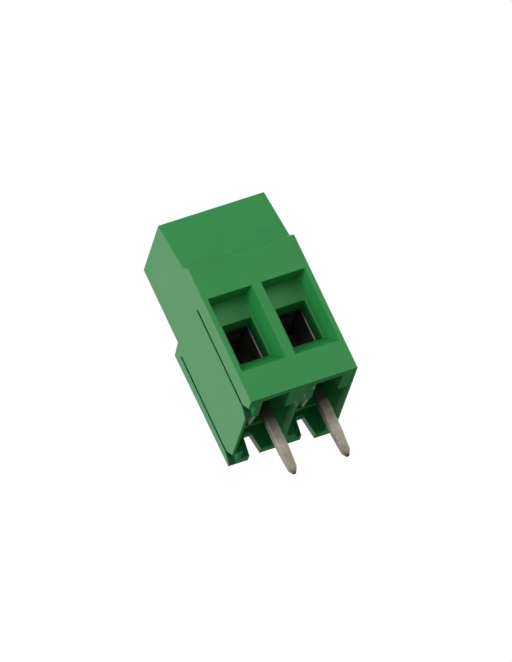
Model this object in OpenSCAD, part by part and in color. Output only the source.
// Two-pole board terminal with rising cage clamps.
// +Z points up from the board and the wire entries face -Y. The origin is on
// the board seat, midway between the two solder pins.

/* [Housing] */
// Distance between the poles; the block is two of these wide
pitch = 5.08; // [5.00:0.01:5.60]
// From the pin line forward to the wire entry face
front_depth = 4.85; // [4.60:0.05:6.00]
// From the pin line back to the rear face
back_depth = 7.60; // [7.30:0.05:9.00]
// From the board seat up to the roof
body_height = 19.26; // [18.60:0.02:22.00]
// Height of the upright front face
face_height = 13.62; // [11.50:0.02:14.50]
// Depth of the sloped ledge above the front face
ledge_depth = 1.09; // [0.40:0.01:1.40]
// Rise of that ledge
ledge_rise = 0.60; // [0.10:0.02:1.20]
// How far the upper front leans back from the ledge to the roof
upper_lean = 1.15; // [0.00:0.05:1.40]
// Depth of the step behind the screw tower
step_depth = 1.90; // [0.80:0.05:2.20]
// Height of that step where it meets the tower
step_height = 11.75; // [11.00:0.05:14.00]
// Fall of the step towards the rear edge
step_fall = 0.15; // [0.00:0.05:0.60]
// How far the rear face leans back between the board and the step
rear_lean = 0.30; // [0.00:0.05:0.50]

/* [Wire entries] */
// Width of the window in the front face
window_w = 4.22; // [3.80:0.02:4.50]
// Height of the window
window_h = 7.40; // [6.20:0.05:7.80]
// Height of the window's sill above the board
sill_height = 2.94; // [2.80:0.02:3.60]
// Depth of the funnel behind the window
funnel_depth = 1.66; // [1.00:0.02:2.20]
// How far each side of the funnel closes in over its depth
funnel_taper = 0.55; // [0.20:0.05:0.65]
// How far the funnel's floor climbs over its depth
sill_rise = 1.36; // [1.00:0.02:1.80]
// Width of the wire channel
channel_w = 2.80; // [2.20:0.05:2.90]
// Height of the wire channel
channel_h = 3.90; // [3.00:0.05:4.20]

/* [Clamp cages] */
// Gap between the screw and the inside of each of the cage's sides
cage_side_gap = 0.08; // [0.06:0.01:0.12]
// Thickness of the cage's sides
cage_wall = 0.57; // [0.45:0.01:0.60]
// Thickness of the cage's floor
cage_floor = 0.80; // [0.50:0.05:0.95]
// Thickness of the threaded top
cage_nut = 1.75; // [1.20:0.05:2.00]
// Length of the cage along the wire
cage_depth = 5.10; // [4.60:0.05:5.20]
// Radius of the cage's outer corners
cage_corner = 0.50; // [0.20:0.05:0.70]
// Play between the cage and the chamber around it
cage_play = 0.20; // [0.12:0.01:0.25]
// Gap left between the closed cage and the current bar
jaw_gap = 0.35; // [0.20:0.05:0.60]

/* [Screws] */
// Outer diameter of the thread
screw_d = 2.50; // [2.30:0.05:2.55]
// Radial clearance of the thread in the cage
thread_clearance = 0.05; // [0.03:0.01:0.08]
// Diameter of the head
head_d = 3.70; // [3.50:0.02:3.80]
// Height of the head
head_h = 1.90; // [1.40:0.05:2.20]
// Radial play of the head in its pocket
head_play = 0.15; // [0.10:0.01:0.25]
// Width of the driver slot
slot_w = 0.70; // [0.50:0.05:1.00]
// Depth of the driver slot
slot_depth = 1.00; // [0.60:0.05:1.30]
// How far the slot of the first screw is turned
slot_turn_1 = 25; // [0:1:179]
// How far the slot of the second screw is turned
slot_turn_2 = 118; // [0:1:179]
// From the pin line back to the screw axis
screw_y = 1.25; // [1.15:0.01:1.35]
// Diameter of the driver hole through the roof
driver_d = 3.40; // [3.00:0.02:3.46]
// Bevel around the mouth of the driver hole
driver_bevel = 0.30; // [0.10:0.05:0.40]
// End play of the screw between the current bar and the roof
end_play = 0.05; // [0.03:0.01:0.10]

/* [Contacts] */
// Thickness of the contact strip, and of the square pin
strip_t = 0.90; // [0.70:0.02:0.96]
// Width of the current bar and of the foot
bar_w = 2.40; // [2.00:0.02:2.44]
// Gap between the wire channel's roof and the current bar
bar_gap = 0.20; // [0.05:0.05:0.50]
// Inside radius of the bends
bend_r = 0.30; // [0.20:0.02:0.34]
// Height of the foot's underside above the board
foot_height = 2.20; // [1.60:0.05:2.30]
// Height of the ears that locate the web in the chamber
ear_h = 3.60; // [2.00:0.10:4.20]
// Length of the solder pin below the board seat
pin_length = 5.60; // [3.00:0.05:6.00]
// Length of the pin's long taper
taper_length = 1.90; // [1.00:0.05:2.40]
// Width of the pin where the long taper ends
taper_w = 0.70; // [0.50:0.02:0.70]
// Length of the blunt point below the taper
point_length = 0.50; // [0.20:0.05:0.80]
// Width of the flat at the very end of the pin
point_w = 0.26; // [0.10:0.02:0.40]

/* [Underside] */
// Thickness of the front wall at the board
front_wall = 0.70; // [0.50:0.02:1.00]
// Width of the throat between the front wall and the chamber
throat_w = 2.50; // [2.20:0.05:2.90]
// Thickness of plastic left under the funnel and the channel
sill_wall = 0.80; // [0.60:0.05:1.00]
// Thickness of the rear wall
rear_wall = 0.85; // [0.60:0.05:1.10]
// Thickness of the wall behind the contact
web_wall = 0.55; // [0.40:0.05:0.70]
// Width of the hollow behind that wall
hollow_w = 3.00; // [2.40:0.05:3.10]
// Plastic left over the hollow, under the step
hollow_roof = 1.20; // [0.80:0.05:2.00]
// Height of the passage from the chamber to the rear wall
passage_h = 2.15; // [2.12:0.01:2.18]
// Width of the rear notch at the board
notch_w = 1.26; // [0.90:0.02:1.60]
// Width of the rear notch at its top
notch_top_w = 0.70; // [0.40:0.02:0.90]
// Height of the rear notch
notch_h = 2.10; // [1.40:0.05:2.10]
// How far the rear wall stands clear of the board between the notches
rear_clear = 0.30; // [0.10:0.05:0.60]
// Bevel on each side of the chamber's mouth
mouth_bevel = 0.16; // [0.05:0.01:0.20]
// Height of that bevel
mouth_bevel_h = 0.50; // [0.20:0.05:0.80]
// Height of the staking lips and of the relief between the chambers
stake_h = 0.60; // [0.30:0.05:0.90]
// Depth of the bevel along the front of that relief
relief_bevel = 0.90; // [0.30:0.05:1.20]
// Thickness of a staking lip
lip_t = 0.28; // [0.20:0.02:0.34]
// Length of a staking lip
lip_length = 1.45; // [0.80:0.05:1.80]
// How far a lip leans sideways over its length
lip_lean = 0.32; // [0.10:0.02:0.36]
// From the throat's side out to the lip
lip_gap = 0.20; // [0.10:0.02:0.30]

/* [Side interlocks] */
// Width of the slit in the left side
slit_w = 0.40; // [0.30:0.02:0.50]
// Height of the slit
slit_h = 10.70; // [6.00:0.10:11.20]
// Width of the undercut behind the slit
undercut_w = 0.80; // [0.60:0.05:1.00]
// Depth of the slit and undercut together
slit_depth = 0.70; // [0.60:0.02:0.74]
// Depth of the slit before the undercut starts
slit_lip = 0.35; // [0.25:0.02:0.40]
// From the pin line forward to the front slit
front_slit = 2.40; // [2.30:0.02:2.60]
// From the pin line back to the rear slit
rear_slit = 6.50; // [6.40:0.02:6.60]
// Spread of each slit's mouth towards the front
mouth_front = 1.08; // [0.40:0.02:1.10]
// Spread of each slit's mouth towards the rear
mouth_rear = 0.75; // [0.40:0.02:0.80]
// Height of the mouth
mouth_h = 0.90; // [0.40:0.05:1.40]
// Clearance of a rib in a neighbour's slit
rib_clearance = 0.05; // [0.03:0.01:0.08]
// Height at which the ribs start above the board
rib_start = 1.40; // [0.60:0.05:2.00]

/* [Hidden] */
$fn = 48;
over = 1;                // how far a cutter runs past the face it opens

body_w = 2 * pitch;
tower_back = back_depth - step_depth;
ledge_top = face_height + ledge_rise;

// heights, from the wire channel up to the roof
channel_floor = sill_height + sill_rise;
bar_z = channel_floor + channel_h + bar_gap;
bar_top = bar_z + strip_t;
cage_z = channel_floor - cage_floor;
cage_window_top = bar_top + jaw_gap;
cage_top = cage_window_top + cage_nut;
travel = bar_z - jaw_gap - channel_floor;
chamber_top = cage_top + travel + cage_play;
head_z = chamber_top + head_play;
head_top = head_z + head_h;
head_pocket_top = head_top + end_play;
tip_z = bar_top + end_play;

// widths and depths around the cage
cage_opening = screw_d + 2 * cage_side_gap;
cage_w = cage_opening + 2 * cage_wall;
chamber_w = cage_w + 2 * cage_play;
chamber_front = screw_y - cage_depth / 2 - cage_play;
chamber_back = screw_y + cage_depth / 2 + cage_play;
web_gap = 0.30;          // between the chamber's back plane and the contact's web
web_front = chamber_back + web_gap;
web_back = web_front + strip_t;
ear_fit = 0.02;          // side clearance of the ears in their slot
ear_top = bar_z - bend_r;
foot_top = foot_height + strip_t;
hollow_front = web_back + web_wall;
hollow_back = back_depth - rear_wall;
hollow_top = step_height - step_fall - hollow_roof;
funnel_back = -front_depth + funnel_depth;

// rises of the screw tip, head edge, bore mouth and grip grooves
tip_bevel = 0.35;
head_bevel = 0.20;
neck_h = 0.30;
neck_depth = 0.20;
bore_bevel = 0.25;
grip_w = 0.30;
grip_depth = 0.15;
grip_step = 0.90;
window_corner = 0.25;    // inside corner radius of the cage
bar_bevel = 0.25;        // bevelled corners at the free end of the current bar
shoulder_h = 0.50;       // height over which the foot narrows to the pin

housing_green = [0.22, 0.55, 0.30];
plated_steel = [0.72, 0.72, 0.70];
tinned_brass = [0.70, 0.67, 0.61];

// x of pole 1 or 2
function pole_x(n) = (n - 1.5) * pitch;

// a shape drawn in (y, z), drawn out along x about the pole's middle plane
module along_x(w) {
    rotate([90, 0, 90])
        translate([0, 0, -w / 2])
            linear_extrude(w)
                children();
}

// a shape drawn in (x, z), drawn out along y from y0 to y1
module along_y(y0, y1) {
    translate([0, y1, 0])
        rotate([90, 0, 0])
            linear_extrude(y1 - y0)
                children();
}

// a box w wide about x = 0, between two corners in (y, z)
module slab(w, y0, y1, z0, z1) {
    translate([-w / 2, y0, z0])
        cube([w, y1 - y0, z1 - z0]);
}

// ---- housing ----

module housing_outline() {
    polygon([
        [-front_depth, 0],
        [-front_depth, face_height],
        [-front_depth + ledge_depth, ledge_top],
        [-front_depth + ledge_depth + upper_lean, body_height],
        [tower_back, body_height],
        [tower_back, step_height],
        [back_depth + rear_lean, step_height - step_fall],
        [back_depth, 0]
    ]);
}

// the funnel closes in at both sides and its floor climbs; its ceiling is level
module funnel() {
    half = window_w / 2;
    inner = half - funnel_taper;
    window_top = sill_height + window_h;
    intersection() {
        linear_extrude(window_top)
            polygon([
                [-half, -front_depth - over],
                [half, -front_depth - over],
                [half, -front_depth],
                [inner, funnel_back],
                [-inner, funnel_back],
                [-half, -front_depth]
            ]);
        along_x(window_w + over)
            polygon([
                [-front_depth - over, sill_height],
                [-front_depth, sill_height],
                [funnel_back, channel_floor],
                [funnel_back, window_top],
                [-front_depth - over, window_top]
            ]);
    }
}

module channel() {
    slab(channel_w, funnel_back - over, screw_y, channel_floor, channel_floor + channel_h);
}

// the cage's chamber, with bevelled lead-ins at its mouth
module chamber() {
    half = chamber_w / 2;
    slab(chamber_w, chamber_front, chamber_back, -over, chamber_top);
    along_y(chamber_front, web_back)
        polygon([
            [-half - mouth_bevel, -over],
            [-half - mouth_bevel, 0],
            [-half, mouth_bevel_h],
            [half, mouth_bevel_h],
            [half + mouth_bevel, 0],
            [half + mouth_bevel, -over]
        ]);
}

// slot behind the chamber that takes the contact's web and its two ears
module web_slot() {
    slab(chamber_w, chamber_back - over, web_back, -over, ear_top);
    slab(bar_w + 2 * ear_fit, chamber_back - over, web_back, 0, bar_top);
}

// the head's round pocket is open to the chamber; the driver hole above is smaller and keeps the screw in
module screw_well() {
    translate([0, screw_y, chamber_top - over])
        cylinder(r = head_d / 2 + head_play, h = head_pocket_top - chamber_top + over);
    translate([0, screw_y, head_top])
        cylinder(d = driver_d, h = body_height - head_top + over);
    translate([0, screw_y, body_height - driver_bevel])
        cylinder(d1 = driver_d, d2 = driver_d + 2 * driver_bevel + 2 * over, h = driver_bevel + over);
}

// open throat between the front wall and the chamber, with a ceiling that follows the funnel's floor
module throat() {
    throat_front = -front_depth + front_wall;
    slope = sill_rise / funnel_depth;
    front_ceiling = sill_height + front_wall * slope - sill_wall;
    back_ceiling = channel_floor - sill_wall;
    along_x(throat_w)
        polygon([
            [throat_front, -over],
            [throat_front, front_ceiling],
            [funnel_back, back_ceiling],
            [screw_y, back_ceiling],
            [screw_y, -over]
        ]);
}

// passage under the web's wall, the hollow behind it and the notch through the rear wall
module rear_hollow() {
    slab(hollow_w, screw_y, hollow_back, -over, passage_h);
    slab(hollow_w, hollow_front, hollow_back, -over, hollow_top);
    along_y(hollow_back - over, back_depth + over)
        polygon([
            [-notch_w / 2, -over],
            [-notch_w / 2, 0],
            [-notch_top_w / 2, notch_h],
            [notch_top_w / 2, notch_h],
            [notch_w / 2, 0],
            [notch_w / 2, -over]
        ]);
}

// the rear wall stands clear of the board between the two notches
module rear_gap() {
    slab(pitch, hollow_back, back_depth + over, -over, rear_clear);
}

// thin lip left beside each chamber's mouth where the contact was staked
module staking_lip() {
    root = -throat_w / 2 - lip_gap;
    tip_t = 0.6 * lip_t;
    translate([0, chamber_front, 0])
        linear_extrude(stake_h)
            polygon([
                [root - lip_t, -over],
                [root, -over],
                [root, 0],
                [root - lip_lean, lip_length],
                [root - lip_lean - tip_t, lip_length],
                [root - lip_t, 0]
            ]);
}

// shallow relief in the wall between the chambers, which leaves a rim along the first one
module partition_relief() {
    rim = 0.06;
    front_x = 0.34;
    inset = 0.15;
    right = pitch / 2 - chamber_w / 2 + over / 2;
    front = chamber_front + inset;
    back = web_back - inset;
    translate([0, 0, -over])
        linear_extrude(stake_h + over)
            polygon([
                [rim, back],
                [rim, front + relief_bevel],
                [front_x, front],
                [right, front],
                [right, back]
            ]);
}

// slit, undercut and spread mouth of one interlock, cut into the left side
module interlock_slit(y) {
    translate([-body_w / 2, y, 0]) {
        translate([-over, -slit_w / 2, -over])
            cube([over + slit_depth, slit_w, slit_h + over]);
        translate([slit_lip, -undercut_w / 2, -over])
            cube([slit_depth - slit_lip, undercut_w, slit_h + over]);
        translate([(slit_depth - over) / 2, 0, 0])
            along_x(slit_depth + over)
                polygon([
                    [-mouth_front, -over],
                    [-mouth_front, 0],
                    [-slit_w / 2, mouth_h],
                    [slit_w / 2, mouth_h],
                    [mouth_rear, 0],
                    [mouth_rear, -over]
                ]);
    }
}

// matching rib on the right side: a neck and a wider head, cut back at its lower end
module interlock_rib(y) {
    neck_w = slit_w - 2 * rib_clearance;
    head_w = undercut_w - 4 * rib_clearance;
    reach = slit_depth - rib_clearance;
    rib_top = slit_h - 4 * rib_clearance;
    translate([body_w / 2, y, 0])
        difference() {
            union() {
                translate([-slit_lip, -neck_w / 2, rib_start])
                    cube([slit_lip + reach, neck_w, rib_top - rib_start]);
                translate([slit_lip + rib_clearance, -head_w / 2, rib_start])
                    cube([reach - slit_lip - rib_clearance, head_w, rib_top - rib_start]);
            }
            along_y(-head_w, head_w)
                polygon([
                    [0, rib_start - over],
                    [0, rib_start],
                    [reach + over, rib_start + reach + over],
                    [reach + over, rib_start - over]
                ]);
        }
}

module housing() {
    color(housing_green) {
        difference() {
            along_x(body_w)
                housing_outline();
            for (n = [1, 2])
                translate([pole_x(n), 0, 0]) {
                    funnel();
                    channel();
                    chamber();
                    web_slot();
                    screw_well();
                    throat();
                    rear_hollow();
                }
            rear_gap();
            partition_relief();
            interlock_slit(-front_slit);
            interlock_slit(rear_slit);
        }
        for (n = [1, 2])
            translate([pole_x(n), 0, 0])
                staking_lip();
        interlock_rib(-front_slit);
        interlock_rib(rear_slit);
    }
}

// ---- clamp cages ----

// rectangle between two corners in the drawing plane, with round corners of radius r
module round_rect(x0, x1, z0, z1, r) {
    translate([x0 + r, z0])
        square([x1 - x0 - 2 * r, z1 - z0]);
    translate([x0, z0 + r])
        square([x1 - x0, z1 - z0 - 2 * r]);
    for (x = [x0 + r, x1 - r], z = [z0 + r, z1 - r])
        translate([x, z])
            circle(r);
}

// V grooves across x, which grip the wire, centred on y and cut upwards or downwards from z
module grip_grooves(w, y, z, count, up) {
    for (i = [0:count - 1])
        translate([0, y + (i - (count - 1) / 2) * grip_step, z])
            along_x(w)
                polygon([
                    [-grip_w / 2, 0],
                    [0, up ? grip_depth : -grip_depth],
                    [grip_w / 2, 0]
                ]);
}

module cage(n) {
    color(plated_steel)
        translate([pole_x(n), 0, 0])
            difference() {
                along_y(screw_y - cage_depth / 2, screw_y + cage_depth / 2)
                    difference() {
                        round_rect(-cage_w / 2, cage_w / 2, cage_z, cage_top, cage_corner);
                        round_rect(-cage_opening / 2, cage_opening / 2,
                                   channel_floor, cage_window_top, window_corner);
                    }
                grip_grooves(cage_opening - 2 * window_corner, screw_y, channel_floor, 4, false);
                translate([0, screw_y, cage_window_top - over])
                    cylinder(r = screw_d / 2 + thread_clearance, h = cage_nut + 2 * over);
                translate([0, screw_y, cage_top - bore_bevel])
                    cylinder(r1 = screw_d / 2 + thread_clearance,
                             r2 = screw_d / 2 + thread_clearance + bore_bevel + over,
                             h = bore_bevel + over);
            }
}

// ---- screws ----

module screw(n, slot_turn) {
    r = screw_d / 2;
    head_r = head_d / 2;
    color(plated_steel)
        translate([pole_x(n), screw_y, 0])
            difference() {
                rotate_extrude()
                    polygon([
                        [0, tip_z],
                        [r - tip_bevel, tip_z],
                        [r, tip_z + tip_bevel],
                        [r, head_z - neck_h],
                        [r - neck_depth, head_z - neck_h + neck_depth],
                        [r - neck_depth, head_z],
                        [head_r, head_z],
                        [head_r, head_top - head_bevel],
                        [head_r - head_bevel, head_top],
                        [0, head_top]
                    ]);
                rotate([0, 0, slot_turn])
                    translate([-head_d, -slot_w / 2, head_top - slot_depth])
                        cube([2 * head_d, slot_w, slot_depth + over]);
            }
}

// ---- contacts ----

// a quarter of a bent strip, about the bend's centre, in the quadrant named by sy and sz
module quarter_bend(sy, sz) {
    outer = bend_r + strip_t;
    intersection() {
        difference() {
            circle(outer);
            circle(bend_r);
        }
        translate([sy > 0 ? 0 : -outer, sz > 0 ? 0 : -outer])
            square(outer);
    }
}

// side view of the bent strip: current bar, web and foot, and the turn down into the pin
module strip_outline() {
    bar_front = chamber_front + cage_play / 2;
    bend_y = web_front - bend_r;
    pin_bend_y = strip_t / 2 + bend_r;
    pin_bend_z = foot_height - bend_r;
    translate([bar_front, bar_z])
        square([bend_y - bar_front, strip_t]);
    translate([bend_y, bar_z - bend_r])
        quarter_bend(1, 1);
    translate([web_front, foot_top + bend_r])
        square([strip_t, bar_z - foot_top - 2 * bend_r]);
    translate([bend_y, foot_top + bend_r])
        quarter_bend(1, -1);
    translate([pin_bend_y, foot_height])
        square([bend_y - pin_bend_y, strip_t]);
    translate([pin_bend_y, pin_bend_z])
        quarter_bend(-1, 1);
}

// side and front view of the pin are alike: straight, a long taper, then a blunt point
module pin_outline(w, top) {
    taper_z = -pin_length + point_length;
    polygon([
        [-w / 2, top],
        [w / 2, top],
        [w / 2, taper_z + taper_length],
        [taper_w / 2, taper_z],
        [point_w / 2, -pin_length],
        [-point_w / 2, -pin_length],
        [-taper_w / 2, taper_z],
        [-w / 2, taper_z + taper_length]
    ]);
}

module contact(n) {
    pin_top = foot_height - bend_r;
    ear_z = ear_top - ear_h;
    bar_front = chamber_front + cage_play / 2;
    color(tinned_brass)
        translate([pole_x(n), 0, 0]) {
            difference() {
                along_x(bar_w)
                    strip_outline();
                for (s = [-1, 1])
                    translate([s * bar_w / 2, bar_front, bar_z - over])
                        rotate([0, 0, 45])
                            translate([-bar_bevel, -bar_bevel, 0])
                                cube([2 * bar_bevel, 2 * bar_bevel, strip_t + 2 * over]);
                grip_grooves(bar_w + over, screw_y, bar_z, 3, true);
            }
            slab(chamber_w - 2 * ear_fit, web_front, web_back, ear_z, ear_top);
            along_y(-strip_t / 2, strip_t / 2)
                polygon([
                    [-bar_w / 2, pin_top],
                    [bar_w / 2, pin_top],
                    [strip_t / 2, pin_top - shoulder_h],
                    [-strip_t / 2, pin_top - shoulder_h]
                ]);
            intersection() {
                along_x(2 * strip_t)
                    pin_outline(strip_t, pin_top - shoulder_h);
                along_y(-strip_t, strip_t)
                    pin_outline(strip_t, pin_top - shoulder_h);
            }
        }
}

housing();
cage(1);  // cage_1
cage(2);  // cage_2
screw(1, slot_turn_1);  // screw_1
screw(2, slot_turn_2);  // screw_2
contact(1);  // contact_1
contact(2);  // contact_2
